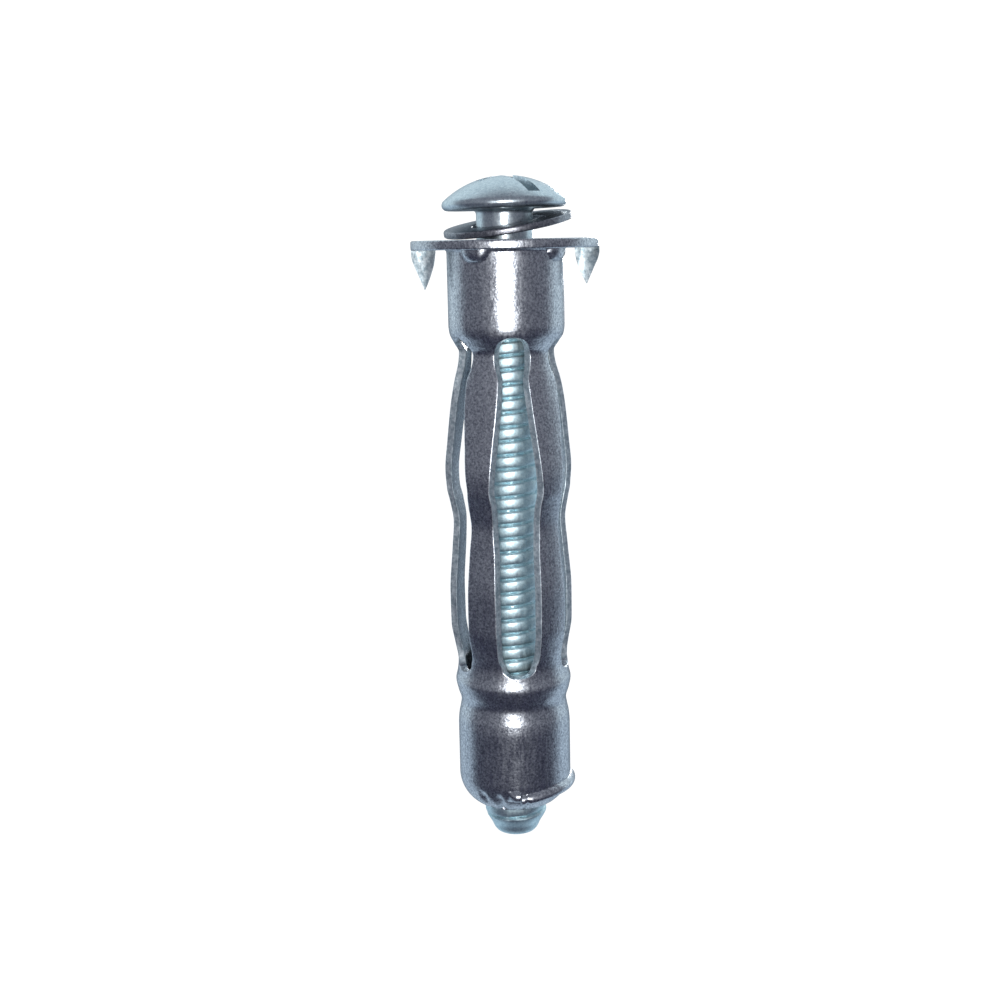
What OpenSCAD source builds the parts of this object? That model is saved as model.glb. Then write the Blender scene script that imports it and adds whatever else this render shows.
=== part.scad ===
// Hollow wall anchor: a slotted sheet metal sleeve that folds out behind a thin wall
// when its screw is tightened. The flange's underside is the plane z = 0, the screw's
// head is up (+Z) and the sleeve hangs down (-Z). All sizes are in millimetres.

/* [Sleeve] */
// Outside diameter of the plain collar
sleeve_d = 8.7; // [7:0.1:12]
// Length from the flange's underside to the cup's rounded end
sleeve_len = 43.1; // [34:0.5:60]
// Thickness of the sleeve's sheet
wall = 0.55; // [0.4:0.05:0.8]
// Length of the plain collar above the pinched neck
collar_len = 5.85; // [4:0.25:16]
// How far the neck is pinched in
neck_pinch = 0.76; // [0.3:0.02:0.9]
// How far the upper bulge of each leg stands out
bulge_out = 0.48; // [0.1:0.02:0.8]
// How far the lower bulge of each leg stands out
low_bulge_out = 0.33; // [0.1:0.01:0.6]
// Length of the cup, from the lower fold to its rounded end
cup_len = 12; // [11:0.25:18]

/* [Flange] */
// Outside diameter of the flange
flange_d = 14; // [11.5:0.25:20]
// Thickness of the flange
flange_t = 0.7; // [0.5:0.05:1.2]
// Length of the spikes below the flange
spike_len = 2.9; // [1.5:0.1:5]
// Width of a spike where it is folded down
spike_w = 1.85; // [1.2:0.05:2.4]

/* [Screw] */
// Outside diameter of the thread
screw_d = 4.83; // [4:0.01:6]
// Distance from one thread crest to the next
pitch = 1.058; // [0.7:0.001:1.25]
// Diameter of the plain shank under the head
shank_d = 4.2; // [3.4:0.05:5.2]
// Diameter of the round head
head_d = 9.25; // [7:0.05:12]
// Height of the head
head_h = 2.45; // [1.8:0.05:4]
// Gap from the flange's top to the head's underside
head_gap = 2.2; // [1.8:0.05:4]
// How far the screw's end stands out of the cup
tip_out = 2.3; // [0.5:0.1:6]

/* [Washer] */
// Outside diameter of the loose washer
washer_d = 9.6; // [8:0.1:13]
// Thickness of the washer
washer_t = 0.5; // [0.3:0.05:0.7]
// How far the loose washer has slid sideways off the screw's axis
washer_slide = 0.34; // [0:0.02:0.36]

/* [Clearances] */
// Free space around the nut in the cup
nut_gap = 0.02; // [0.01:0.01:0.05]
// Running clearance of the screw in the nut, on the radius
thread_gap = 0.06; // [0.02:0.01:0.1]
// Least space between the neck and the screw, on the radius
neck_gap = 0.3; // [0.1:0.05:0.6]
// Slack of the washer on the thread, on the diameter
washer_slack = 0.47; // [0.2:0.01:0.8]
// Space between the leaning washer and the head
lean_gap = 0.06; // [0.04:0.01:0.2]

/* [View] */
// Sub-part to draw

/* [Hidden] */
$fn = 96;
legs = 5;
first_slot = -82.5;
leg_step = 360 / legs;
sleeve_r = sleeve_d / 2;
screw_r = screw_d / 2;

// Radii of the sleeve's outside at its pinches and bulges
neck_r = max(sleeve_r - neck_pinch, screw_r + neck_gap + wall);
bulge_r = sleeve_r + bulge_out;
waist_r = sleeve_r - 0.05;
low_bulge_r = sleeve_r + low_bulge_out;
foot_r = sleeve_r - 0.11;
bead_r = sleeve_r + 0.1;
groove_r = sleeve_r - 0.15;

// Heights of the pinches, bulges and folds
neck_z = -(collar_len + 1.7);
top_fold_z = neck_z - 1.65;
foot_fold_z = -(sleeve_len - cup_len);
elbow_z = (top_fold_z + foot_fold_z) / 2;
leg_span = top_fold_z - foot_fold_z;
bulge_z = top_fold_z - 0.336 * leg_span;
waist_z = top_fold_z - 0.514 * leg_span;
low_bulge_z = top_fold_z - 0.817 * leg_span;
foot_z = foot_fold_z - 0.25;
bead_z = foot_fold_z - 1.75;
groove_z = foot_fold_z - 3.3;
cup_z = foot_fold_z - 4.05;
end_r = 2.7;
end_z = -sleeve_len + end_r;

// Gaps left at the folds, so that the legs swing without touching
elbow_gap = 0.04;
foot_gap = 0.17;

// Half widths of a leg along its length, and of the slot's keyhole at the neck
throat_half = 1.33 * sleeve_d / 8.7;
slim_half = 0.83 * sleeve_d / 8.7;
broad_half = 1.13 * sleeve_d / 8.7;
foot_half = 1.25 * sleeve_d / 8.7;
keyhole_r = 1.42 * sleeve_d / 8.7;
slot_half = 1.05 * sleeve_d / 8.7;
slot_end_r = 1.64 * sleeve_d / 8.7;

// Heights of the screw and the washer
head_z = flange_t + head_gap;
tip_z = -sleeve_len - tip_out;
thread_top_z = -3.2;
root_r = screw_r - 0.62 * pitch;
washer_dir = 40;
washer_hole_d = max(screw_d, shank_d) + washer_slack;
// The washer leans until its high side is just short of the head's edge
washer_reach = min(washer_d,
    washer_d / 2 + head_d / 2 - washer_slide * cos(washer_dir));
washer_lean = atan((head_gap - washer_t - lean_gap) / washer_reach);
bump_r = 1.15;
recess_turn = 34;

// Nut, held between the groove and the rounded end
nut_r = sleeve_r - wall - nut_gap;
nut_top_z = groove_z - 0.75;
nut_low_z = end_z - 0.95;

function ease(u) = (1 - cos(180 * u)) / 2;
function rise(u) = (u + sin(90 * u)) / 2;
function mix(a, b, u) = a + (b - a) * u;
function part_of(z, top, low) = (top - z) / (top - low);

// Outside radius of the sleeve at height z
function outside_r(z) =
    z > -collar_len ? sleeve_r :
    z > neck_z ? mix(sleeve_r, neck_r, ease(part_of(z, -collar_len, neck_z))) :
    z > bulge_z ? mix(neck_r, bulge_r, rise(part_of(z, neck_z, bulge_z))) :
    z > waist_z ? mix(bulge_r, waist_r, ease(part_of(z, bulge_z, waist_z))) :
    z > low_bulge_z ? mix(waist_r, low_bulge_r, ease(part_of(z, waist_z, low_bulge_z))) :
    z > foot_z ? mix(low_bulge_r, foot_r, ease(part_of(z, low_bulge_z, foot_z))) :
    z > bead_z ? mix(foot_r, bead_r, ease(part_of(z, foot_z, bead_z))) :
    z > groove_z ? mix(bead_r, groove_r, ease(part_of(z, bead_z, groove_z))) :
    z > cup_z ? mix(groove_r, sleeve_r, ease(part_of(z, groove_z, cup_z))) :
    sleeve_r;

// Half width of a leg at height z
function leg_half(z) =
    z > bulge_z ? mix(throat_half, slim_half, ease(part_of(z, top_fold_z, bulge_z - 1.3))) :
    z > waist_z ? slim_half + 0.05 :
    z > low_bulge_z ? mix(slim_half, broad_half, ease(part_of(z, waist_z, low_bulge_z))) :
    z > foot_fold_z + 1.1 ? broad_half :
    mix(broad_half, foot_half, ease(part_of(z, foot_fold_z + 1.1, foot_fold_z)));

function heights(top, low, count) = [for (i = [0 : count]) mix(top, low, i / count)];

// Radius of the fold lines at the neck and the foot, and at the elbow
fold_r = foot_r - 0.16;
top_gap = 0.04 + max(0, outside_r(top_fold_z) - fold_r);
elbow_r = sqrt(pow(outside_r(elbow_z) - wall, 2) - pow(slim_half, 2)) - 0.03;

// Sheet of the sleeve between two heights
module sheet_ring(top, low, count) {
    zs = heights(top, low, count);
    outer = [for (z = zs) [outside_r(z), z]];
    inner = [for (i = [count : -1 : 0]) [outside_r(zs[i]) - wall, zs[i]]];
    rotate_extrude()
        polygon(concat(outer, inner));
}

// Round bar that points out from the sleeve's axis
module radial_hole(angle, z, r) {
    rotate([0, 0, angle])
        translate([0, 0, z])
            rotate([0, 90, 0])
                cylinder(h = 3 * sleeve_r, r = r);
}

// Keyhole at the top of a slot, swept out from inside the sleeve
module keyhole(angle) {
    rotate([0, 0, angle])
        translate([screw_r / 2, 0, 0])
            rotate([90, 0, 90])
                linear_extrude(height = 2 * sleeve_r)
                    union() {
                        translate([0, neck_z - 0.25])
                            circle(r = keyhole_r);
                        translate([-slot_half, top_fold_z - 1])
                            square([2 * slot_half, neck_z - top_fold_z + 0.75]);
                    }
}

// Flat outline of a leg between two heights, swept out from the axis
module leg_blank(angle, top, low, count) {
    zs = heights(top, low, count);
    right = [for (z = zs) [leg_half(z), z]];
    left = [for (i = [count : -1 : 0]) [-leg_half(zs[i]), zs[i]]];
    rotate([0, 0, angle])
        rotate([90, 0, 90])
            linear_extrude(height = 3 * sleeve_r)
                polygon(concat(right, left));
}

function leg_angle(i) = first_slot + leg_step * (i - 0.5);

module leg_piece(i, top, low) {
    intersection() {
        sheet_ring(top, low, 14);
        leg_blank(leg_angle(i), top + 0.01, low - 0.01, 14);
    }
}

module upper_leg(i) {
    color([0.62, 0.65, 0.68])
        leg_piece(i, top_fold_z - top_gap, elbow_z + elbow_gap / 2);
}

module lower_leg(i) {
    color([0.66, 0.69, 0.72])
        leg_piece(i, elbow_z - elbow_gap / 2, foot_fold_z);
}

// Disc of the flange with its rounded inner edge
module flange_disc() {
    edge = 0.45;
    rotate_extrude()
        difference() {
            translate([sleeve_r - wall, 0])
                square([flange_d / 2 - sleeve_r + wall, flange_t]);
            difference() {
                translate([sleeve_r - wall - edge, flange_t - edge])
                    square(2 * edge);
                translate([sleeve_r - wall + edge, flange_t - edge])
                    circle(r = edge);
            }
        }
}

// Window left in the flange where a spike was folded down
module spike_window(side) {
    x_in = flange_d / 2 - spike_w;
    translate([0, 0, -1])
        linear_extrude(height = flange_t + 2)
            polygon([[side * x_in, flange_t / 2],
                [side * (x_in + 0.65), spike_len],
                [side * flange_d, spike_len],
                [side * flange_d, flange_t / 2]]);
}

module spike(side) {
    x_in = flange_d / 2 - spike_w;
    x_out = flange_d / 2 - 0.03;
    rise_z = flange_t / 2;
    translate([0, flange_t / 2, 0])
        rotate([90, 0, 0])
            linear_extrude(height = flange_t)
                polygon([[side * x_in, rise_z],
                    [side * (x_in + 0.05), -0.3 * spike_len],
                    [side * (x_in + 0.25), -0.65 * spike_len],
                    [side * (x_in + 0.6), -spike_len],
                    [side * (x_in + 0.85), -spike_len],
                    [side * x_out, -0.2 * spike_len],
                    [side * x_out, rise_z]]);
}

module sleeve_collar() {
    color([0.7, 0.73, 0.76]) {
        sheet_ring(0.01, -collar_len, 1);
        difference() {
            sheet_ring(-collar_len, top_fold_z, 12);
            for (i = [1 : legs])
                keyhole(first_slot + leg_step * i);
        }
        difference() {
            flange_disc();
            spike_window(-1);
            spike_window(1);
        }
        spike(-1);
        spike(1);
        // Small strengthening bumps in the corner under the flange
        for (i = [0 : 3]) {
            difference() {
                intersection() {
                    radial_hole(-119 + 90 * i, 0.2, bump_r);
                    translate([0, 0, -bump_r])
                        cylinder(h = bump_r + 0.01, r = sleeve_r + 0.3);
                }
                translate([0, 0, -2 * bump_r])
                    cylinder(h = 3 * bump_r, r = sleeve_r - wall / 2);
            }
        }
    }
}

module sleeve_cup() {
    top = foot_fold_z - foot_gap;
    hole_r = screw_r + 0.33;
    color([0.68, 0.71, 0.74]) {
        difference() {
            union() {
                sheet_ring(top, cup_z, 16);
                sheet_ring(cup_z, end_z, 1);
            }
            for (i = [1 : legs])
                radial_hole(first_slot + leg_step * i, foot_fold_z - 0.75 + slot_end_r, slot_end_r);
        }
        // End rolled in under the nut
        rotate_extrude()
            difference() {
                translate([sleeve_r - end_r, end_z])
                    circle(r = end_r);
                translate([sleeve_r - end_r, end_z])
                    circle(r = end_r - wall);
                translate([-sleeve_r, end_z])
                    square([3 * sleeve_r, 2 * end_r]);
                translate([hole_r - 2 * sleeve_r, end_z - 2 * end_r])
                    square([2 * sleeve_r, 4 * end_r]);
            }
        // Ridge where the rolled edge overlaps, on one side only
        rotate([0, 0, -100])
            rotate_extrude(angle = 112)
                intersection() {
                    translate([sleeve_r + 0.02, end_z - 0.8])
                        circle(r = 0.38);
                    translate([sleeve_r - wall / 2, end_z - 2])
                        square([2, 3]);
                }
    }
}

module trapped_nut() {
    flat_half = nut_r * 0.95;
    color([0.6, 0.6, 0.58])
        difference() {
            intersection() {
                rotate_extrude()
                    polygon([[0, nut_top_z], [nut_r - 0.35, nut_top_z], [nut_r, nut_top_z - 0.35],
                        [nut_r, end_z - 0.1], [nut_r - 0.75, nut_low_z], [0, nut_low_z]]);
                // Six small flats that stop the nut turning in the crimped cup
                rotate([0, 0, 15])
                    translate([0, 0, nut_low_z - 1])
                        cylinder(h = nut_top_z - nut_low_z + 2, r = flat_half / cos(30), $fn = 6);
            }
            translate([0, 0, nut_low_z - 1])
                cylinder(h = nut_top_z - nut_low_z + 2, r = screw_r + thread_gap);
        }
}

// Domed head with its combined slot and cross recess
module screw_head() {
    dome_h = head_h - 0.65;
    dome_r = (pow(head_d / 2 - 0.15, 2) + pow(dome_h, 2)) / (2 * dome_h);
    difference() {
        rotate_extrude()
            union() {
                translate([0, head_z])
                    square([head_d / 2 - 0.2, 0.5]);
                intersection() {
                    translate([head_d / 2 - 0.2, head_z + 0.2])
                        circle(r = 0.2);
                    translate([0, head_z])
                        square([head_d, 0.2]);
                }
                intersection() {
                    translate([0, head_z + head_h - dome_r])
                        circle(r = dome_r);
                    translate([0, head_z + 0.2])
                        square([head_d / 2, head_h]);
                }
            }
        rotate([0, 0, recess_turn])
            translate([-0.5, -head_d, head_z + head_h - 1.33])
                cube([1, 2 * head_d, 3]);
        // Cross wings get shallower towards their ends
        for (turn = [recess_turn, recess_turn + 90])
            rotate([0, 0, turn])
                translate([0, 0.45, 0])
                    rotate([90, 0, 0])
                        linear_extrude(height = 0.9)
                            polygon([[-2.35, head_z + head_h + 1], [-2.2, head_z + head_h - 0.8],
                                [-0.7, head_z + 0.35], [0.7, head_z + 0.35],
                                [2.2, head_z + head_h - 0.8], [2.35, head_z + head_h + 1]]);
    }
}

module machine_screw() {
    turns = floor((thread_top_z - tip_z - 1.4) / pitch);
    crest = 0.14 * pitch;
    teeth = [for (k = [0 : turns - 1])
        each [[root_r, thread_top_z - k * pitch],
            [screw_r, thread_top_z - k * pitch - 0.5 * pitch + crest / 2],
            [screw_r, thread_top_z - k * pitch - 0.5 * pitch - crest / 2],
            [root_r, thread_top_z - (k + 1) * pitch + 0.12 * pitch]]];
    end_top = thread_top_z - turns * pitch;
    color([0.72, 0.74, 0.76]) {
        screw_head();
        rotate_extrude()
            polygon(concat([[0, head_z + 0.1], [shank_d / 2 + 0.25, head_z + 0.1],
                    [shank_d / 2 + 0.25, head_z], [shank_d / 2, head_z - 0.35],
                    [shank_d / 2, thread_top_z + 0.35], [root_r, thread_top_z + 0.02]],
                teeth,
                [[root_r, end_top], [screw_r - 0.28, end_top - 0.25],
                    [root_r - 0.1, tip_z], [0, tip_z]]));
    }
}

// Loose washer, leaning on the shank with its low edge on the flange
module flat_washer() {
    color([0.64, 0.66, 0.7])
        translate([washer_slide, 0, flange_t + 0.01])
            rotate([0, 0, washer_dir])
                translate([-washer_d / 2, 0, 0])
                    rotate([0, -washer_lean, 0])
                        translate([washer_d / 2, 0, 0])
                            difference() {
                                cylinder(h = washer_t, r = washer_d / 2);
                                translate([0, 0, -1])
                                    cylinder(h = washer_t + 2, r = washer_hole_d / 2);
                            }
}

sleeve_collar();
upper_leg(1);  // upper_leg_1
upper_leg(2);  // upper_leg_2
upper_leg(3);  // upper_leg_3
upper_leg(4);  // upper_leg_4
upper_leg(5);  // upper_leg_5
lower_leg(1);  // lower_leg_1
lower_leg(2);  // lower_leg_2
lower_leg(3);  // lower_leg_3
lower_leg(4);  // lower_leg_4
lower_leg(5);  // lower_leg_5
sleeve_cup();
trapped_nut();
machine_screw();
flat_washer();
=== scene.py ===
# %% [markdown]
# # A hollow wall anchor
# A zinc plated fixing for thin walls. A slotted sheet metal sleeve hangs on a machine screw, and
# when the screw is tightened the sleeve's legs fold out behind the wall. This file dresses the
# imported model: it keeps the model's sizes and joints, and gives each piece its real surface.

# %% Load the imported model
import math

import bmesh
import bpy
import numpy as np
from mathutils import Matrix, Vector


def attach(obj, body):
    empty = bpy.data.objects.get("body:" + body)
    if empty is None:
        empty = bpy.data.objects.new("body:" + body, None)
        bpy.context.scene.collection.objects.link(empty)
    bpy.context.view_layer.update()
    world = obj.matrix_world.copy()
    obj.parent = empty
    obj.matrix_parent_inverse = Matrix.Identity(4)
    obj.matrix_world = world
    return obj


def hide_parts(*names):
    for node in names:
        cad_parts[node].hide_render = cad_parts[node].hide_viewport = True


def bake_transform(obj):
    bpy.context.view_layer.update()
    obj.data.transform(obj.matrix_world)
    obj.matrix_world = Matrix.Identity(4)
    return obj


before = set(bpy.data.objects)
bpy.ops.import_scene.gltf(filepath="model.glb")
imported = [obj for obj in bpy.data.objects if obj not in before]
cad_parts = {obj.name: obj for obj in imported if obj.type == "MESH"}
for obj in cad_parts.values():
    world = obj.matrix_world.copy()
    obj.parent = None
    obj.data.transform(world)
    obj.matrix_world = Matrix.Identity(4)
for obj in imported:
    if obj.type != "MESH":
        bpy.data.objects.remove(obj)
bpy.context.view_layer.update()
scene = bpy.context.scene
MM = 0.001

# %% [markdown]
# ## Camera
# A lens a little longer than normal, close to the anchor and level with its flange, looking
# slightly down, so the flange is seen edge on and the cup slightly from above. A small roll gives
# the anchor's lean.

# %% Camera
CAMERA_PLACE = Vector((2.3, -107.6, 0.35)) * MM
CAMERA_TURN, CAMERA_DIP, CAMERA_ROLL = 1.63, 10.14, 1.21


def stand_camera():
    data = bpy.data.cameras.new("camera")
    data.sensor_width = 36.0
    data.lens = 51.5
    data.clip_start = 0.001
    camera = bpy.data.objects.new("camera", data)
    scene.collection.objects.link(camera)
    turn = Matrix.Rotation(math.radians(CAMERA_TURN), 4, "Z")
    dip = Matrix.Rotation(math.radians(90 - CAMERA_DIP), 4, "X")
    roll = Matrix.Rotation(math.radians(-CAMERA_ROLL), 4, "Z")
    camera.matrix_world = Matrix.Translation(CAMERA_PLACE) @ turn @ dip @ roll
    scene.camera = camera


stand_camera()
print("camera", round(CAMERA_PLACE.length / MM), "mm from the flange")

# %% [markdown]
# ## A helper for materials
# Colours are written as the hex values a paint chart uses and turned to linear light by one
# function. One more function adds a node with its settings and its links.


# %% Colour and node helpers
def linear(hex_code):
    parts = [int(hex_code[i:i + 2], 16) / 255 for i in (1, 3, 5)]
    line = [c / 12.92 if c <= 0.04045 else ((c + 0.055) / 1.055) ** 2.4 for c in parts]
    return (*line, 1.0)


def add(tree, kind, inputs=None, **settings):
    made = tree.nodes.new(kind)
    for key, value in settings.items():
        setattr(made, key, value)
    for key, value in (inputs or {}).items():
        if isinstance(value, bpy.types.NodeSocket):
            tree.links.new(value, made.inputs[key])
        else:
            made.inputs[key].default_value = value
    return made


# %% [markdown]
# ## Bright zinc plating
# The steel is drawn and pressed, then plated with a few microns of zinc and dipped in a clear blue
# passivate. To the eye it is a metal with a cold blue cast, nearly a mirror but broken up by the
# grain of the sheet, by soft dents from the press and by fine rubbing marks. Metallic is 1 and the
# IOR stays at its default. Real sheet has grain of about 0.1 mm, which is finer than the render
# shows well, so it is drawn at 0.16 mm, and at 0.3 mm on the claws and the sheared edges, which
# the punch left rougher. Its height and the dents' height are guesses, then matched.


# %% Zinc plating
def zinc_plate(name, light, dark, rough, grain=0.16, grain_height=0.009, dents=1.1,
               dent_height=0.02):
    material = bpy.data.materials.new(name)
    material.use_nodes = True
    tree = material.node_tree
    shader = tree.nodes["Principled BSDF"]
    shader.inputs["Metallic"].default_value = 1.0
    place = add(tree, "ShaderNodeTexCoord").outputs["Object"]
    fine = add(tree, "ShaderNodeTexNoise", {"Vector": place, "Scale": 1 / (grain * MM),
                                            "Detail": 3.0, "Roughness": 0.65}).outputs["Fac"]
    broad = add(tree, "ShaderNodeTexNoise", {"Vector": place, "Scale": 1 / (dents * MM),
                                             "Detail": 2.0}).outputs["Fac"]
    # Rubbing marks run mostly along the anchor, so their pattern is stretched along Z
    drawn = add(tree, "ShaderNodeMapping", {"Vector": place, "Scale": (1.0, 1.0, 0.2)})
    marks = add(tree, "ShaderNodeTexNoise", {"Vector": drawn.outputs[0], "Scale": 1 / (0.3 * MM),
                                             "Detail": 4.0, "Roughness": 0.7}).outputs["Fac"]
    share = add(tree, "ShaderNodeMapRange", {"Value": fine, "From Min": 0.35, "From Max": 0.65})
    tint = add(tree, "ShaderNodeMix", {0: share.outputs[0], 6: linear(dark), 7: linear(light)},
               data_type="RGBA")
    matt = add(tree, "ShaderNodeMapRange", {"Value": marks, "From Min": 0.3, "From Max": 0.75,
                                            "To Min": rough * 0.8, "To Max": rough * 1.5})
    dent = add(tree, "ShaderNodeBump", {"Height": broad, "Distance": dent_height * MM})
    speck = add(tree, "ShaderNodeBump", {"Height": fine, "Distance": grain_height * MM,
                                         "Normal": dent.outputs[0]})
    for socket, source in (("Base Color", tint.outputs[2]), ("Roughness", matt.outputs[0]),
                           ("Normal", speck.outputs[0])):
        tree.links.new(source, shader.inputs[socket])
    return material


sheet_zinc = zinc_plate("zinc_plated_sheet", "#E2E6EB", "#8C919B", 0.27, grain_height=0.016)
claw_zinc = zinc_plate("zinc_plated_claws", "#E6F0F3", "#A4B6BE", 0.52, grain=0.3,
                       grain_height=0.03)
sheared_zinc = zinc_plate("zinc_plated_sheared_edge", "#E2EAEE", "#A4B4BC", 0.52, grain=0.3,
                          grain_height=0.03)
screw_zinc = zinc_plate("zinc_plated_screw", "#DCE6EA", "#B6C4CC", 0.3, grain_height=0.006)
thread_zinc = zinc_plate("zinc_plated_thread", "#E2F6FA", "#C0DAE2", 0.42, grain_height=0.006)
# The washer's zinc is painted darker than the other pieces' zinc: painted shade under the screw head
washer_zinc_painted_shade = zinc_plate("zinc_plated_washer_painted_shade", "#A9ABB1", "#6E7078", 0.3)
nut_zinc = zinc_plate("zinc_plated_nut", "#B9BDC2", "#83878D", 0.3)
zincs = (sheet_zinc, claw_zinc, sheared_zinc, screw_zinc, thread_zinc, washer_zinc_painted_shade, nut_zinc)
print("materials:", [material.name for material in zincs])

# %% [markdown]
# ## The sleeve's shape as two rules
# The sleeve starts as a tube. A press pinches it at the neck and waves it into bulges, and slots
# cut it into five legs. Both are rules of the height: the outside radius, and the slot's half
# angle. A smooth curve that never overshoots runs through a few heights of each.


# %% Smooth curves through heights
def smooth_curve(points):
    x, y = np.array(sorted(points), float).T
    step, slope = np.diff(x), np.diff(y) / np.diff(x)
    lean = np.zeros(len(x))
    for i in range(1, len(x) - 1):
        a, b = slope[i - 1], slope[i]
        if a * b > 0:
            w1, w2 = 2 * step[i] + step[i - 1], step[i] + 2 * step[i - 1]
            lean[i] = (w1 + w2) / (w1 / a + w2 / b)

    def at(value):
        i = int(np.clip(np.searchsorted(x, value) - 1, 0, len(step) - 1))
        t = min(max((value - x[i]) / step[i], 0.0), 1.0)
        h = step[i]
        return ((1 + 2 * t) * (1 - t) ** 2 * y[i] + t * (1 - t) ** 2 * h * lean[i]
                + t * t * (3 - 2 * t) * y[i + 1] + t * t * (t - 1) * h * lean[i + 1])

    return at


WALL = 0.55
COLLAR_R = 4.35
NECK_CUT, LEG_CUT, ELBOW, FOOT = -8.45, -10.4, -20.15, -31.1
outside_r = smooth_curve([
    (0, COLLAR_R), (-5.55, COLLAR_R), (-6.1, 4.29), (-6.9, 3.93), (-7.55, 3.6), (-8.2, 3.66), (-9.55, 3.95),
    (-11.25, 4.22), (-14.25, 4.6), (-16.55, 4.83), (-17.85, 4.76), (-18.85, 4.54), (-20.45, 4.3),
    (-22.4, 4.42), (-25.95, 4.67), (-28.35, 4.65), (-29.95, 4.43), (-31.35, 4.24), (-32.1, 4.31),
    (-32.85, 4.46), (-33.6, 4.32), (-34.5, 4.08), (-35.1, 4.17), (-35.7, 4.29), (-36.5, COLLAR_R),
    (-50, COLLAR_R)])
HOLE_TOP, HOLE_MID, SLOT_END = -6.3, -7.8, -31.86
HOLE_HALF, FOOT_HALF = 21.0, 17.0
slot_curve = smooth_curve([
    (HOLE_MID, HOLE_HALF), (-8.7, 18.9), (-9.55, 15.6), (-11.25, 16.8), (-14.25, 20.7), (-16.55, 23.3),
    (-17.6, 24.3), (-18.9, 22.9), (-20.45, 23.0), (-22.4, 21.5), (-25.95, 20.8), (-28.35, 20.6),
    (-29.95, 20.8), (-30.6, 19.8), (FOOT, FOOT_HALF)])


def slot_half(z):
    if z >= HOLE_TOP or z <= SLOT_END:
        return 0.0
    if z > HOLE_MID:
        return HOLE_HALF * math.sqrt(max(0.0, 1 - ((z - HOLE_MID) / (HOLE_TOP - HOLE_MID)) ** 2))
    if z < FOOT:
        return FOOT_HALF * math.sqrt(max(0.0, 1 - ((z - FOOT) / (SLOT_END - FOOT)) ** 2))
    return slot_curve(z)


print("widest bulge", round(2 * max(outside_r(-z / 10) for z in range(440)), 2), "mm across")

# %% [markdown]
# ## Lofting the sheet
# A leg is a strip of curved sheet with softly broken edges. At each height it is one closed loop:
# outside arc, edge, cut face, edge, inside arc, and back. Joining the loops gives clean four sided
# faces that follow the metal, which shade better than a cut made with a boolean.

# %% Loops of the sheet
LEGS = 5
FIRST_SLOT = -82.5
ARC = 36
EDGE = 0.09
FLARE = 0.2


def leg_azimuth(i):
    return FIRST_SLOT + 360 / LEGS * (i - 0.5)


# Between neck and foot the waving press also flattens the legs: 0 is as round as the tube
flat_share = smooth_curve([(-8.6, 0), (-11.5, 1), (-28.5, 1), (FOOT, 0)])


def sheet_loop(z):
    r = outside_r(z)
    bend = r * (1 + 0.8 * flat_share(z))
    half = math.radians(180 / LEGS - slot_half(z))
    outer_half, low = half * r, r - WALL
    # Where a slot closes, its broken edge and its flare fade away
    open_share = min(1.0, slot_half(z) / 5)
    e, flare = EDGE * open_share, FLARE * open_share
    right = []
    for k in range(4):
        a = math.radians(90 - 30 * k)
        right.append((outer_half - e + e * math.cos(a), r - e + e * math.sin(a)))
    for k in range(4):
        a = math.radians(-30 * k)
        right.append((outer_half + flare - e + e * math.cos(a), low + e + e * math.sin(a)))
    out = [(-(outer_half - e) + 2 * (outer_half - e) * k / ARC, r) for k in range(ARC + 1)]
    inner_half = outer_half + flare - e
    inn = [(inner_half - 2 * inner_half * k / ARC, low) for k in range(ARC + 1)]
    left = [(-s, q) for s, q in reversed(right)]
    loop = out[:-1] + right + inn[1:-1] + left[:-1]
    return [(r - bend + (bend - r + q) * math.cos(s / bend), (bend - r + q) * math.sin(s / bend), z)
            for s, q in loop]


def heights(top, low, step):
    count = max(1, round(abs(top - low) / step))
    return [top + (low - top) * k / count for k in range(count + 1)]


def loft(mesh, loops, cap_first=True, cap_last=True):
    rings = [[mesh.verts.new([c * MM for c in p]) for p in loop] for loop in loops]
    for a, b in zip(rings, rings[1:]):
        for k in range(len(a)):
            mesh.faces.new((a[k], a[k - 1], b[k - 1], b[k]))
    if cap_first:
        mesh.faces.new(rings[0])
    if cap_last:
        mesh.faces.new(rings[-1][::-1])
    return rings


def turned(points, degrees):
    c, s = math.cos(math.radians(degrees)), math.sin(math.radians(degrees))
    return [(x * c - y * s, x * s + y * c, z) for x, y, z in points]


def finish_mesh(name, mesh, material, sharp=32):
    bmesh.ops.remove_doubles(mesh, verts=mesh.verts, dist=2e-7)
    bmesh.ops.dissolve_degenerate(mesh, dist=1e-7, edges=mesh.edges)
    bmesh.ops.recalc_face_normals(mesh, faces=mesh.faces)
    data = bpy.data.meshes.new(name)
    mesh.to_mesh(data)
    mesh.free()
    data.materials.append(material)
    data.shade_smooth()
    data.set_sharp_from_angle(angle=math.radians(sharp))
    piece = bpy.data.objects.new(name, data)
    scene.collection.objects.link(piece)
    return piece


# %% [markdown]
# ## Legs
# All five legs are alike, so one is lofted and Geometry Nodes stands copies of it round the axis.
# Each copy is kept as a mesh of its own, because each leg moves by itself. A leg is two pieces:
# the bend at the neck, which flexes between the collar and the upper leg, and the leg, which folds
# at its elbow. Its foot ends in a hidden round nose, so that no gap opens when it folds.

# %% One leg
def foot_nose(mesh):
    # Round bar in the thickness of the sheet, just inside the cup's rim
    half = math.radians(180 / LEGS - slot_half(FOOT)) * 0.93
    r, q = outside_r(FOOT) - WALL / 2, WALL / 2 - 0.012
    rings = []
    for k in range(13):
        a = -half + 2 * half * k / 12
        ring = []
        for m in range(14):
            b = 2 * math.pi * m / 14
            reach = r + q * math.cos(b)
            ring.append((reach * math.cos(a), reach * math.sin(a), FOOT + q * math.sin(b)))
        rings.append(ring)
    loft(mesh, rings)


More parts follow.
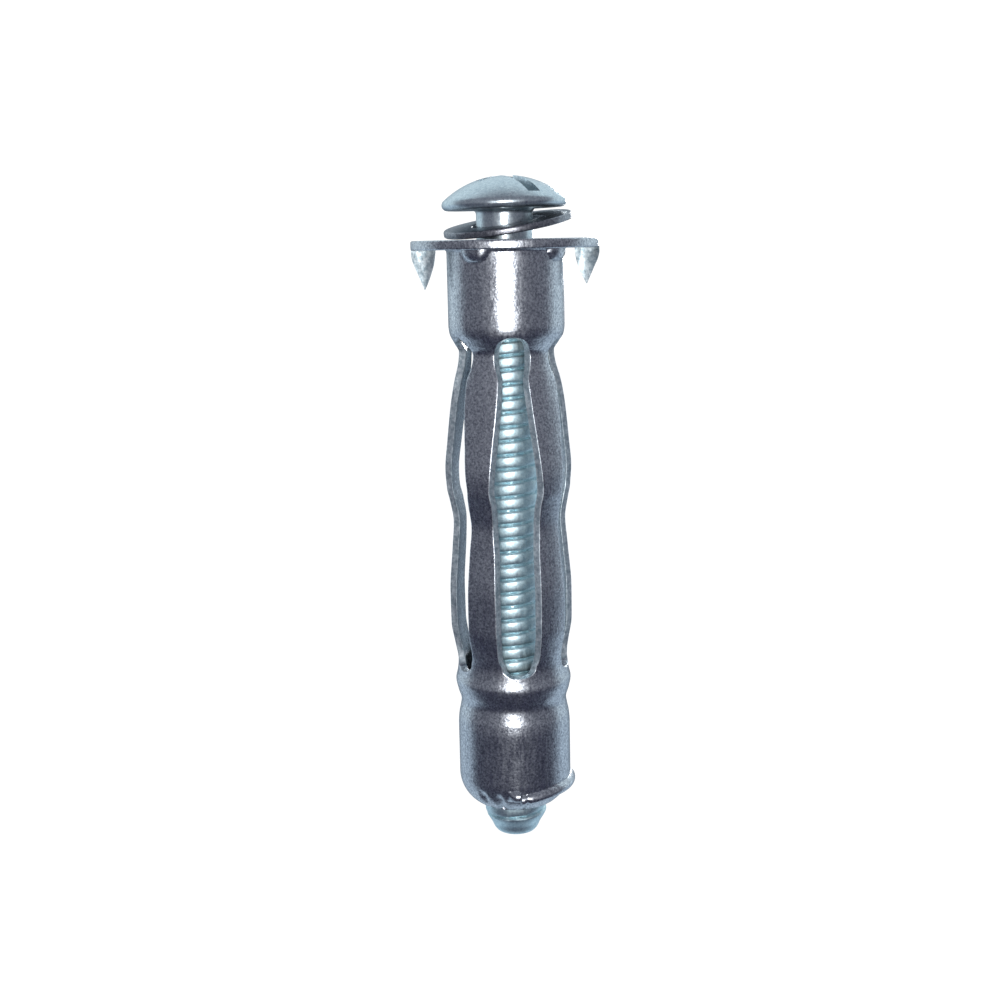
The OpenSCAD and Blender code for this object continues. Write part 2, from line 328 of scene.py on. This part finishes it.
def one_leg(name, top, low, nose=False):
    mesh = bmesh.new()
    loft(mesh, [sheet_loop(z) for z in heights(top, low, 0.12)])
    piece = finish_mesh(name, mesh, sheet_zinc)
    if nose:
        mesh = bmesh.new()
        foot_nose(mesh)
        extra = finish_mesh(name + "_nose", mesh, sheet_zinc)
        both = bmesh.new()
        both.from_mesh(piece.data)
        both.from_mesh(extra.data)
        both.to_mesh(piece.data)
        both.free()
        piece.data.shade_smooth()
        piece.data.set_sharp_from_angle(angle=math.radians(32))
        bpy.data.objects.remove(extra)
    return piece


# %% [markdown]
# ## Copies round the axis
# The tree puts a copy of the leg at every fifth of a turn, then throws away all but the one asked
# for. So one tree gives each leg as a mesh of its own, and the angle stays a rule, not a list.

# %% Copies round the axis with Geometry Nodes
def ring_tree(name, material):
    tree = bpy.data.node_groups.new(name, "GeometryNodeTree")
    face = tree.interface
    face.new_socket("Geometry", in_out="INPUT", socket_type="NodeSocketGeometry")
    for label, kind in (("Count", "NodeSocketInt"), ("Keep", "NodeSocketInt"),
                        ("First angle", "NodeSocketFloat")):
        face.new_socket(label, in_out="INPUT", socket_type=kind)
    face.new_socket("Geometry", in_out="OUTPUT", socket_type="NodeSocketGeometry")
    given = add(tree, "NodeGroupInput").outputs
    spots = add(tree, "GeometryNodePoints", {"Count": given["Count"]})
    number = add(tree, "GeometryNodeInputIndex").outputs[0]
    step = add(tree, "ShaderNodeMath", {0: 2 * math.pi, 1: given["Count"]}, operation="DIVIDE")
    turn = add(tree, "ShaderNodeMath", {0: number, 1: step.outputs[0], 2: given["First angle"]},
               operation="MULTIPLY_ADD")
    spin = add(tree, "ShaderNodeCombineXYZ", {"Z": turn.outputs[0]})
    copies = add(tree, "GeometryNodeInstanceOnPoints", {"Points": spots.outputs[0],
                                                        "Instance": given["Geometry"],
                                                        "Rotation": spin.outputs[0]})
    other = add(tree, "FunctionNodeCompare", {2: number, 3: given["Keep"]}, data_type="INT",
                operation="NOT_EQUAL")
    one = add(tree, "GeometryNodeDeleteGeometry", {"Geometry": copies.outputs[0],
                                                   "Selection": other.outputs[0]},
              domain="INSTANCE")
    real = add(tree, "GeometryNodeRealizeInstances", {"Geometry": one.outputs[0]})
    skin = add(tree, "GeometryNodeSetMaterial", {"Geometry": real.outputs[0],
                                                 "Material": material})
    add(tree, "NodeGroupOutput", {"Geometry": skin.outputs[0]})
    return tree


def set_input(modifier, label, value):
    for item in modifier.node_group.interface.items_tree:
        if item.item_type == "SOCKET" and item.in_out == "INPUT" and item.name == label:
            modifier[item.identifier] = value


def evaluated_copy(piece, name):
    bpy.context.view_layer.update()
    depsgraph = bpy.context.evaluated_depsgraph_get()
    data = bpy.data.meshes.new_from_object(piece.evaluated_get(depsgraph), depsgraph=depsgraph)
    data.name = name
    data.set_sharp_from_angle(angle=math.radians(32))
    copy = bpy.data.objects.new(name, data)
    scene.collection.objects.link(copy)
    return copy


def ring_of(source, names, tree):
    made = []
    for i, name in enumerate(names):
        modifier = source.modifiers.new("ring", "NODES")
        modifier.node_group = tree
        set_input(modifier, "Count", LEGS)
        set_input(modifier, "Keep", i)
        set_input(modifier, "First angle", math.radians(leg_azimuth(1)))
        made.append(evaluated_copy(source, name))
        source.modifiers.remove(modifier)
    bpy.data.objects.remove(source)
    return made


def shear_edges(piece, top, low):
    # The faces the slotting punch sheared are rougher than the rolled faces of the sheet
    piece.data.materials.append(sheared_zinc)
    for face in piece.data.polygons:
        place = face.center / MM
        a = math.atan2(place.y, place.x)
        along = face.normal.y * math.cos(a) - face.normal.x * math.sin(a)
        if abs(along) > 0.6 and low < place.z < top:
            face.material_index = 1


print("one leg spans", 360 / LEGS, "degrees, less half a slot on each side")

# %% Stand the legs round the axis
leg_ring = ring_tree("legs_round_the_axis", sheet_zinc)
names = range(1, LEGS + 1)
neck_bends = ring_of(one_leg("neck_bend", NECK_CUT, LEG_CUT),
                     [f"neck_bend_{i}" for i in names], leg_ring)
legs = ring_of(one_leg("leg", LEG_CUT, FOOT, nose=True), [f"leg_{i}" for i in names], leg_ring)
for piece in neck_bends + legs:
    shear_edges(piece, 0, -50)
print(len(legs), "legs of", len(legs[0].data.polygons), "faces")

# %% [markdown]
# ## Legs in place of the imported ones
# The sheet doesn't hinge, it bends. Here each piece of a leg has its placement baked into its
# mesh, and the imported upper and lower legs are hidden.

# %% Legs take the place of the imported upper and lower legs
for i in names:
    bend, leg = neck_bends[i - 1], legs[i - 1]
    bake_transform(bend)
    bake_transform(leg)
    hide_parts(f"upper_leg_{i}", f"lower_leg_{i}")
print("legs fold at", LEG_CUT, "to", FOOT, "mm, elbow at", ELBOW, "mm")

# %% [markdown]
# ## Collar and flange
# The top of the sleeve is a plain tube that the press has turned outwards into a flange. A profile
# is turned round the axis, and its lower edge meets the five tabs between the keyholes point for
# point. Four little bumps pressed into the corner stiffen the flange.

# %% Turned shapes
FLANGE_R, FLANGE_T = 6.995, 0.7
BUMP_ANGLES, BUMP_HALF, BUMP_DEEP, BUMP_OUT = (-119, -29, 61, 151), 1.15, 0.95, 0.5


def round_steps():
    return [leg_azimuth(i + 1) - 36 + 72 * k / ARC for i in range(LEGS) for k in range(ARC)]


def arc(cx, cz, r, start, end, count):
    return [(cx + r * math.cos(math.radians(start + (end - start) * k / count)),
             cz + r * math.sin(math.radians(start + (end - start) * k / count)))
            for k in range(count + 1)]


def turn_profile(mesh, profile, move=None):
    angles = round_steps()
    rings = []
    for n, (r, z) in enumerate(profile):
        ring = []
        for a in angles:
            q, h = move(a, r, z, n) if move else (r, z)
            ring.append(mesh.verts.new((q * math.cos(math.radians(a)) * MM,
                                        q * math.sin(math.radians(a)) * MM, h * MM)))
        rings.append(ring)
    for a, b in zip(rings, rings[1:]):
        for k in range(len(a)):
            mesh.faces.new((a[k - 1], a[k], b[k], b[k - 1]))
    return rings


def bump_out(angle, r, z, n):
    if z > 0.001 or z < -1.0 or r < COLLAR_R - 0.1 or r > 5.2:
        return r, z
    for middle in BUMP_ANGLES:
        off = (angle - middle + 180) % 360 - 180
        inside = 1 - (math.radians(off) * COLLAR_R / BUMP_HALF) ** 2 - (z / BUMP_DEEP) ** 2
        if inside > 0:
            return max(r, COLLAR_R + BUMP_OUT * inside ** 0.45), z
    return r, z


print("profiles are turned in", len(round_steps()), "steps")

# %% Collar
def collar_profile():
    outer = [(outside_r(z), z) for z in heights(HOLE_TOP, -1.1, 0.13)]
    outer += [(COLLAR_R, z) for z in heights(-1.02, -0.24, 0.07)]
    corner = arc(COLLAR_R + 0.2, -0.2, 0.2, 180, 90, 5)
    rim = arc(FLANGE_R - 0.12, 0.12, 0.12, -90, 0, 4)
    rim += arc(FLANGE_R - 0.16, FLANGE_T - 0.16, 0.16, 0, 90, 5)
    mouth = arc(COLLAR_R - WALL + 0.5, FLANGE_T - 0.5, 0.5, 90, 180, 9)
    inner = [(outside_r(z) - WALL, z) for z in heights(0.1, HOLE_TOP, 0.3)]
    flat = [(5.2, 0), (5.9, 0), (6.5, 0)]
    return outer + corner + flat + rim + [(6.3, FLANGE_T), (5.6, FLANGE_T)] + mouth + inner


def tab_heights(top, low, hole):
    # Heights crowd where the hole's round edge is steep
    return [hole + (top - hole) * math.cos(math.pi / 2 * k / 12) for k in range(12)] + \
        heights(hole, low, 0.1)


def make_collar():
    mesh = bmesh.new()
    turn_profile(mesh, collar_profile(), bump_out)
    for i in names:
        zs = tab_heights(HOLE_TOP, NECK_CUT, HOLE_MID)
        loft(mesh, [turned(sheet_loop(z), leg_azimuth(i)) for z in zs], cap_first=False)
    return finish_mesh("collar_and_flange", mesh, sheet_zinc)


collar = make_collar()
print("collar:", len(collar.data.polygons), "faces")

# %% [markdown]
# ## Windows behind the claws
# Two triangular claws are cut in the flange's edge and folded down, and each leaves a window
# behind it. A window could be modelled into the profile, but the profile is round, so it is cut
# out with a boolean: sharp sheared corners are just what the real part shows.


# %% Windows for the spikes
def prism(name, outline, low, high, axis="Z"):
    mesh = bmesh.new()
    rings = []
    for h in (low, high):
        rings.append([(x, y, h) if axis == "Z" else (x, h, y) for x, y in outline])
    loft(mesh, rings)
    return finish_mesh(name, mesh, sheet_zinc)


def cut(piece, tool):
    modifier = piece.modifiers.new("cut", "BOOLEAN")
    modifier.object = tool
    modifier.operation = "DIFFERENCE"
    modifier.solver = "EXACT"
    result = evaluated_copy(piece, piece.data.name)
    piece.modifiers.remove(modifier)
    piece.data = result.data
    bpy.data.objects.remove(result)
    bpy.data.objects.remove(tool)


# A window's outline, from beside the claw's face to the back of the notch it was cut from
WINDOW = ((5.15, 0.33), (5.75, 2.75), (6.0, 2.95), (8, 2.95), (8, 0.33))
for side in (-1, 1):
    cut(collar, prism("window", [(side * x, y) for x, y in WINDOW], -0.5, 1.5))
print("collar with windows:", len(collar.data.polygons), "faces")

# %% [markdown]
# ## Claws
# The claws bite into the wall so that the sleeve can't turn. Each is a plate that narrows to a
# point, so it is lofted from sections down its length, and a bevel breaks its edges.

# %% Claws
CLAW_MID, CLAW_TIP, CLAW_FACE, CLAW_BOW = 6.07, -2.88, -0.2, 0.26


def make_spike(name, side, reach, turn):
    # Sections down the claw: inner edge and outer edge measured from the axis. Its face is
    # hollow, because the punch curled it while folding it down
    inner = smooth_curve([(0.45, 5.17), (0.0, 5.17), (-0.8, 5.24), (-1.7, 5.5), (-2.5, 5.82),
                          (-2.9, 6.0), (-3.4, 6.1)])
    outer = smooth_curve([(0.45, 6.97), (-0.3, 6.97), (-0.7, 6.9), (-1.7, 6.52), (-2.5, 6.2),
                          (-2.9, 6.06), (-3.4, 6.1)])
    mesh = bmesh.new()
    loops = []
    for z in heights(0.4, CLAW_TIP, 0.1):
        a, b = inner(z), outer(z)
        thick = 0.58 - 0.14 * min(1, max(0, -z / 2.9))
        curled = min(1.0, max(0.0, 0.3 - z))
        face = []
        for k in range(11):
            x = side * (a + (b - a) * k / 10)
            off = x - side * CLAW_MID
            back = -CLAW_BOW * (off / 0.9) ** 2 + off * math.tan(math.radians(turn))
            face.append((x, CLAW_FACE + back * curled, z * reach))
        loops.append(face + [(x, y + thick, h) for x, y, h in reversed(face)])
    loft(mesh, loops)
    spike = finish_mesh(name, mesh, claw_zinc, sharp=40)
    bevel = spike.modifiers.new("edge", "BEVEL")
    bevel.width = 0.05 * MM
    bevel.segments = 2
    bevel.angle_limit = math.radians(50)
    return spike


left_spike = make_spike("left_spike", -1, 1.0, -8)
right_spike = make_spike("right_spike", 1, 0.92, -17)
shear_edges(collar, HOLE_TOP, -50)
for piece in (collar, left_spike, right_spike):
    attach(piece, "collar")
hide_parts("sleeve_collar")
print("collar after cutting:", len(collar.data.polygons), "faces")

# %% [markdown]
# ## Cup
# The cup holds the nut. A bead and a groove are rolled in above the nut, and the end is rolled in
# under it. The rolling isn't tidy: the edge overlaps as a lip on one side, and there are creases
# where the metal had nowhere to go. Both are small departures from round, so a profile is turned
# round the axis and a rule of the angle moves its points.

# %% Cup
END_Z, END_R = -40.4, 2.7
LIP_Z, LIP_ANGLES, LIP_R, LIP_THICK = -41.15, (-97, 18), 4.3, 0.42
# Creases of the rolled end: angle round the axis, half width in degrees, depth in mm
CREASES = ((-126, 3.5, 0.22), (-107, 4.0, 0.28), (-77, 1.6, 0.14), (60, 4, 0.2), (120, 6, 0.16),
           (175, 4, 0.22))


def lip_share(angle):
    off = (angle - LIP_ANGLES[0]) % 360
    span = LIP_ANGLES[1] - LIP_ANGLES[0]
    if off > span:
        return 0.0
    return min(1.0, off / 8) * min(1.0, (span - off) / 10)


def cup_move(angle, r, z, n):
    if n >= CUP_OUTSIDE:
        return r, z
    # The lip runs downhill to its free end, and in towards the axis as the end curves under
    fall = 0.45 * min(1.0, max(0.0, (-40 - angle) / 55))
    off = abs(z - LIP_Z + fall)
    if off < LIP_THICK:
        reach = LIP_R - 0.5 * fall + math.sqrt(LIP_THICK ** 2 - off ** 2)
        r += max(0.0, reach - r) * lip_share(angle)
    for middle, width, deep in CREASES:
        away = ((angle - middle + 180) % 360 - 180) / width
        dip = deep * math.exp(-away * away) * min(1.0, max(0.0, (-40.9 - z) / 0.7))
        r -= dip * 0.8
        z += dip * 0.4
    return r, z


CUP_WALL = [(outside_r(z), z) for z in heights(SLOT_END, END_Z, 0.11)]
CUP_END = arc(COLLAR_R - END_R, END_Z, END_R, 0, -64, 40)[1:]
CUP_OUTSIDE = len(CUP_WALL) + len(CUP_END)


def cup_profile():
    edge = arc(2.74, -42.645, 0.2, -64, -190, 5)[1:]
    inside = arc(COLLAR_R - END_R, END_Z, END_R - WALL, -62, 0, 10)
    up = [(outside_r(z) - WALL, z) for z in heights(END_Z + 0.1, SLOT_END, 0.35)]
    return CUP_WALL + CUP_END + edge + inside + up


def make_cup():
    mesh = bmesh.new()
    turn_profile(mesh, cup_profile(), cup_move)
    zs = [FOOT + (SLOT_END - FOOT) * math.sin(math.pi / 2 * k / 10) for k in range(11)]
    for i in names:
        loft(mesh, [turned(sheet_loop(z), leg_azimuth(i)) for z in zs], cap_last=False)
    return finish_mesh("cup", mesh, sheet_zinc)


cup = make_cup()
shear_edges(cup, 0, SLOT_END)
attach(cup, "cup")
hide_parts("sleeve_cup")
print("cup:", len(cup.data.polygons), "faces")

# %% [markdown]
# ## Screw thread
# A rolled thread is one ridge that climbs round the screw. Its radius is a rule of height and
# angle, so Geometry Nodes starts from a plain tube and sets each point's radius: the phase of the
# ridge is the height in pitches minus the turn, and a curve gives the ridge its rounded crest.

# %% Thread tree
MAJOR_R, ROOT_R, PITCH = 2.415, 2.1, 1.058
THREAD_TOP, TIP, THREAD_START = -2.6, -45.4, 0.957
THREAD_SIZES = {"Crest radius": MAJOR_R * MM, "Root radius": ROOT_R * MM, "Pitch": PITCH * MM,
                "Top": THREAD_TOP * MM, "Tip": TIP * MM, "Start": THREAD_START}


def shape_curve(node, points):
    curve = node.mapping.curves[0]
    while len(curve.points) < len(points):
        curve.points.new(0.5, 0.5)
    for spot, place in zip(curve.points, points):
        spot.location = place
    node.mapping.update()


def thread_tree():
    tree = bpy.data.node_groups.new("rolled_thread", "GeometryNodeTree")
    face = tree.interface
    face.new_socket("Geometry", in_out="INPUT", socket_type="NodeSocketGeometry")
    for label in THREAD_SIZES:
        face.new_socket(label, in_out="INPUT", socket_type="NodeSocketFloat")
    face.new_socket("Geometry", in_out="OUTPUT", socket_type="NodeSocketGeometry")
    given = add(tree, "NodeGroupInput").outputs
    length = add(tree, "ShaderNodeMath", {0: given["Top"], 1: given["Tip"]},
                 operation="SUBTRACT").outputs[0]
    tube = add(tree, "GeometryNodeMeshCylinder", {"Vertices": 72, "Side Segments": 660,
                                                  "Radius": 1.0, "Depth": length},
               fill_type="NGON").outputs["Mesh"]
    place = add(tree, "GeometryNodeInputPosition").outputs[0]
    part = add(tree, "ShaderNodeSeparateXYZ", {0: place}).outputs
    half = add(tree, "ShaderNodeMath", {0: length, 1: 0.5}, operation="MULTIPLY").outputs[0]
    above = add(tree, "ShaderNodeMath", {0: part["Z"], 1: half}, operation="ADD").outputs[0]
    height = add(tree, "ShaderNodeMath", {0: above, 1: given["Tip"]}, operation="ADD").outputs[0]
    turn = add(tree, "ShaderNodeMath", {0: part["Y"], 1: part["X"]}, operation="ARCTAN2")
    turns = add(tree, "ShaderNodeMath", {0: turn.outputs[0], 1: 2 * math.pi},
                operation="DIVIDE").outputs[0]
    pitches = add(tree, "ShaderNodeMath", {0: height, 1: given["Pitch"]},
                  operation="DIVIDE").outputs[0]
    phase = add(tree, "ShaderNodeMath", {0: pitches, 1: turns}, operation="SUBTRACT").outputs[0]
    phase = add(tree, "ShaderNodeMath", {0: phase, 1: given["Start"]},
                operation="SUBTRACT").outputs[0]
    phase = add(tree, "ShaderNodeMath", {0: phase}, operation="FRACT").outputs[0]
    ridge = add(tree, "ShaderNodeFloatCurve", {"Value": phase})
    shape_curve(ridge, [(0.0, 0.0), (0.04, 0.36), (0.09, 0.66), (0.17, 0.86), (0.3, 0.96),
                        (0.5, 1.0), (0.7, 0.96), (0.83, 0.86), (0.91, 0.66), (0.96, 0.36),
                        (1.0, 0.0)])
    # The ridge fades out at the top and rounds off at the tip
    below = add(tree, "ShaderNodeMath", {0: given["Top"], 1: height}, operation="SUBTRACT")
    fade = add(tree, "ShaderNodeMapRange", {"Value": below.outputs[0], "From Min": 0.1 * MM,
                                            "From Max": 1.6 * MM}).outputs[0]
    tall = add(tree, "ShaderNodeMath", {0: ridge.outputs[0], 1: fade}, operation="MULTIPLY")
    rise = add(tree, "ShaderNodeMath", {0: given["Crest radius"], 1: given["Root radius"]},
               operation="SUBTRACT").outputs[0]
    radius = add(tree, "ShaderNodeMath", {0: tall.outputs[0], 1: rise, 2: given["Root radius"]},
                 operation="MULTIPLY_ADD").outputs[0]
    near = add(tree, "ShaderNodeMapRange", {"Value": above, "From Min": 0.0,
                                            "From Max": 1.7 * MM}).outputs[0]
    nose = add(tree, "ShaderNodeFloatCurve", {"Value": near})
    shape_curve(nose, [(0.0, 0.58), (0.04, 0.63), (0.5, 0.82), (0.92, 0.985), (1.0, 1.0)])
    cap = add(tree, "ShaderNodeMath", {0: nose.outputs[0], 1: given["Crest radius"]},
              operation="MULTIPLY").outputs[0]
    radius = add(tree, "ShaderNodeMath", {0: radius, 1: cap}, operation="MINIMUM").outputs[0]
    flat = add(tree, "ShaderNodeCombineXYZ", {0: part["X"], 1: part["Y"]}).outputs[0]
    wide = add(tree, "ShaderNodeVectorMath", {0: flat, "Scale": radius}, operation="SCALE")
    up = add(tree, "ShaderNodeCombineXYZ", {2: height}).outputs[0]
    point = add(tree, "ShaderNodeVectorMath", {0: wide.outputs[0], 1: up}, operation="ADD")
    moved = add(tree, "GeometryNodeSetPosition", {"Geometry": tube, "Position": point.outputs[0]})
    real = add(tree, "GeometryNodeRealizeInstances", {"Geometry": moved.outputs[0]})
    skin = add(tree, "GeometryNodeSetMaterial", {"Geometry": real.outputs[0],
                                                 "Material": thread_zinc})
    smooth = add(tree, "GeometryNodeSetShadeSmooth", {"Geometry": skin.outputs[0]})
    add(tree, "NodeGroupOutput", {"Geometry": smooth.outputs[0]})
    return tree


print("thread:", round((THREAD_TOP - TIP) / PITCH), "turns")

# %% Thread
def make_thread():
    seed = bpy.data.objects.new("thread_seed", bpy.data.meshes.new("thread_seed"))
    scene.collection.objects.link(seed)
    modifier = seed.modifiers.new("thread", "NODES")
    modifier.node_group = thread_tree()
    for label, value in THREAD_SIZES.items():
        set_input(modifier, label, value)
    thread = evaluated_copy(seed, "screw_thread")
    bpy.data.objects.remove(seed)
    return thread


thread = make_thread()
print("thread:", len(thread.data.polygons), "faces")

# %% [markdown]
# ## Screw head
# A forged dome on a thin rim. The recess takes either a flat blade or a cross driver: a slot right
# across the head and two shorter wings square to it. It is cut with a boolean, then the sharp
# edges are broken with a small bevel.

# %% Head
HEAD_Z, HEAD_R, HEAD_H = 2.9, 4.62, 2.43
RIM, SLOT_TURN, SLOT_DEEP = 0.42, 34.0, 1.33
SHANK_R, HEAD_LEAN = 2.1, 1.2
# A pole of no radius would be left open, so it is a ring too small to see, which is then merged
POLE_R = 0.00005


def dome_and_rim():
    # The dome runs into the rim's round edge without a corner, so its slope is found by turns
    slope = 0.8
    for _ in range(30):
        r = HEAD_R - RIM * (1 - math.sin(slope))
        z = HEAD_Z + RIM * (1 + math.cos(slope))
        tall = HEAD_Z + HEAD_H - z
        big = (r * r + tall * tall) / (2 * tall)
        slope = math.asin(r / big)
    middle = HEAD_Z + HEAD_H - big
    dome = [(max(r * k / 40, POLE_R), middle + math.sqrt(big ** 2 - (r * k / 40) ** 2))
            for k in range(41)]
    return dome + arc(r - RIM * math.sin(slope), HEAD_Z + RIM, RIM,
                      90 - math.degrees(slope), -90, 16)[1:]


def make_head():
    top = HEAD_Z + HEAD_H
    under = [(3.7, HEAD_Z), (3.1, HEAD_Z)]
    shank = arc(2.45, HEAD_Z - 0.35, 0.35, 90, 180, 5)
    shank += [(SHANK_R, z) for z in heights(2.5, THREAD_TOP + 0.3, 0.5)]
    shank += [(1.79, THREAD_TOP), (1.7, THREAD_TOP - 0.2), (POLE_R, THREAD_TOP - 0.2)]
    mesh = bmesh.new()
    turn_profile(mesh, dome_and_rim() + under + shank)
    head = finish_mesh("screw_head", mesh, screw_zinc, sharp=35)
    slot = prism("slot", [(-0.5, -6), (0.5, -6), (0.5, 6), (-0.5, 6)], top - SLOT_DEEP, top + 1)
    slot.data.transform(Matrix.Rotation(math.radians(SLOT_TURN), 4, "Z"))
    cut(head, slot)
    # Each wing is cut by a tapered blade, as wide as the driver's at the top and narrow below
    wing = [(-2.45, top + 1), (-2.25, top - 0.8), (-0.7, HEAD_Z + 0.35), (0.7, HEAD_Z + 0.35),
            (2.25, top - 0.8), (2.45, top + 1)]
    for turn in (SLOT_TURN, SLOT_TURN + 90):
        cross = prism("cross", wing, -0.46, 0.46, axis="Y")
        cross.data.transform(Matrix.Rotation(math.radians(turn), 4, "Z"))
        cut(head, cross)
    for vertex in head.data.vertices:
        # The forged head is never quite square to its shank
        share = min(1.0, max(0.0, (vertex.co.z / MM - HEAD_Z + 0.35) / 0.35))
        vertex.co.z += share * vertex.co.x * math.tan(math.radians(HEAD_LEAN))
    bevel = head.modifiers.new("edge", "BEVEL")
    bevel.width = 0.06 * MM
    bevel.segments = 2
    bevel.angle_limit = math.radians(38)
    return head


head = make_head()
for piece in (head, thread):
    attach(piece, "screw")
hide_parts("machine_screw")
print("head:", len(head.data.polygons), "faces")

# %% [markdown]
# ## Washer
# A thin ring stamped from sheet. The punch rounds the edges it enters by and leaves the hole's
# other edge sharper, so each corner of the profile has its own radius. The ring hangs loose and
# leans on the flange, and the lean is put in its mesh, so that its object stays unturned.

# %% Washer
WASHER_R, WASHER_HOLE, WASHER_T = 4.8, 2.65, 0.5
WASHER_SLIDE, WASHER_DIR, WASHER_LEAN = 0.34, 40.0, 10.14


def make_washer():
    profile = arc(WASHER_R - 0.12, 0.12, 0.12, -90, 0, 4)
    profile += arc(WASHER_R - 0.16, WASHER_T - 0.16, 0.16, 0, 90, 5)
    profile += arc(WASHER_HOLE + 0.14, WASHER_T - 0.14, 0.14, 90, 180, 4)
    profile += arc(WASHER_HOLE + 0.05, 0.05, 0.05, 180, 270, 3)
    mesh = bmesh.new()
    turn_profile(mesh, profile + profile[:1])
    washer = finish_mesh("washer", mesh, washer_zinc_painted_shade)
    lean = (Matrix.Translation((WASHER_SLIDE * MM, 0, (FLANGE_T + 0.01) * MM))
            @ Matrix.Rotation(math.radians(WASHER_DIR), 4, "Z")
            @ Matrix.Translation((-WASHER_R * MM, 0, 0))
            @ Matrix.Rotation(math.radians(-WASHER_LEAN), 4, "Y")
            @ Matrix.Translation((WASHER_R * MM, 0, 0)))
    washer.data.transform(lean)
    return washer


washer = make_washer()
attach(washer, "washer")
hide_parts("flat_washer")
print("washer:", len(washer.data.polygons), "faces, leans", WASHER_LEAN, "degrees")

# %% [markdown]
# ## Nut
# The nut is held in the cup, where hardly any of it shows. It could be modelled again with
# rounded corners, but nobody would see them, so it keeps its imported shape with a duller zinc.

# %% Nut
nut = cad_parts["trapped_nut"]
for slot in nut.material_slots:
    slot.material = nut_zinc
print("nut:", len(nut.data.polygons), "faces, finish", nut.material_slots[0].material.name)

# %% [markdown]
# ## Studio
# Bright metal only shows its surroundings, so the studio is the look. The anchor stands between a
# pale sheet behind it and a dim room in front, and a small lamp close to the camera draws the
# white lines. A second lamp behind does the same for the back. Cards could stand in for the
# sheet and the room, but a rule of the direction has no edges to show in the metal. It is only
# for reflections: to everything else the surroundings are white.

# %% Studio
FRONT = (0.0, -math.cos(math.radians(CAMERA_DIP)), math.sin(math.radians(CAMERA_DIP)))


def make_room():
    world = bpy.data.worlds.new("studio")
    world.use_nodes = True
    # Only reflections see the room, so it isn't sampled as a light
    world.cycles.sampling_method = "NONE"
    tree = world.node_tree
    way = add(tree, "ShaderNodeTexCoord").outputs["Generated"]
    facing = add(tree, "ShaderNodeVectorMath", {0: way, 1: FRONT}, operation="DOT_PRODUCT")
    height = add(tree, "ShaderNodeSeparateXYZ", {0: way}).outputs["Z"]
    lift = add(tree, "ShaderNodeMapRange", {"Value": height, "From Min": -0.32, "From Max": 0.05})
    paper = add(tree, "ShaderNodeMix", {0: lift.outputs[0], 6: linear("#BACCDC"),
                                        7: linear("#DAEAF2")}, data_type="RGBA")
    room = add(tree, "ShaderNodeMix", {0: lift.outputs[0], 6: linear("#3E4050"),
                                       7: linear("#7C7E88")}, data_type="RGBA")
    side = add(tree, "ShaderNodeMapRange", {"Value": facing.outputs["Value"], "From Min": -0.24,
                                            "From Max": -0.14})
    around = add(tree, "ShaderNodeMix", {0: side.outputs[0], 6: paper.outputs[2],
                                         7: room.outputs[2]}, data_type="RGBA")
    # Straight behind the anchor the sheet is in shade, which gives the back its contrast
    far = add(tree, "ShaderNodeMapRange", {"Value": facing.outputs["Value"], "From Min": -0.95,
                                           "From Max": -0.78})
    around = add(tree, "ShaderNodeMix", {0: far.outputs[0], 6: linear("#5C6876"),
                                         7: around.outputs[2]}, data_type="RGBA")
    mirror = add(tree, "ShaderNodeLightPath").outputs["Is Glossy Ray"]
    seen = add(tree, "ShaderNodeMix", {0: mirror, 6: linear("#FFFFFF"), 7: around.outputs[2]},
               data_type="RGBA")
    tree.links.new(seen.outputs[2], tree.nodes["Background"].inputs["Color"])
    tree.nodes["Background"].inputs["Strength"].default_value = 1.12
    scene.world = world


def make_floor():
    material = bpy.data.materials.new("pale_floor")
    material.use_nodes = True
    shader = material.node_tree.nodes["Principled BSDF"]
    shader.inputs["Base Color"].default_value = linear("#FCFCFC")
    shader.inputs["Roughness"].default_value = 0.9
    mesh = bmesh.new()
    corners = ((-1, -1), (1, -1), (1, 1), (-1, 1))
    mesh.faces.new([mesh.verts.new((x * 4, y * 4, -0.3)) for x, y in corners])
    data = bpy.data.meshes.new("floor")
    mesh.to_mesh(data)
    mesh.free()
    data.materials.append(material)
    floor = bpy.data.objects.new("floor", data)
    floor.visible_glossy = False
    scene.collection.objects.link(floor)


def lamp(name, place, size, power, aim=(0, 0, -0.02)):
    data = bpy.data.lights.new(name, "AREA")
    data.shape, data.size, data.size_y = "RECTANGLE", size[0], size[1]
    data.energy = power
    light = bpy.data.objects.new(name, data)
    light.location = place
    light.rotation_mode = "QUATERNION"
    light.rotation_quaternion = (Vector(place) - Vector(aim)).to_track_quat("Z", "Y")
    light.visible_camera = False
    scene.collection.objects.link(light)


make_room()
make_floor()
lamp("camera_lamp", (0.002, -0.125, -0.004), (0.013, 0.022), 0.085)
lamp("back_lamp", (0.04, 0.16, 0.02), (0.03, 0.05), 0.1)
scene.view_settings.view_transform = "Standard"
print("studio ready")
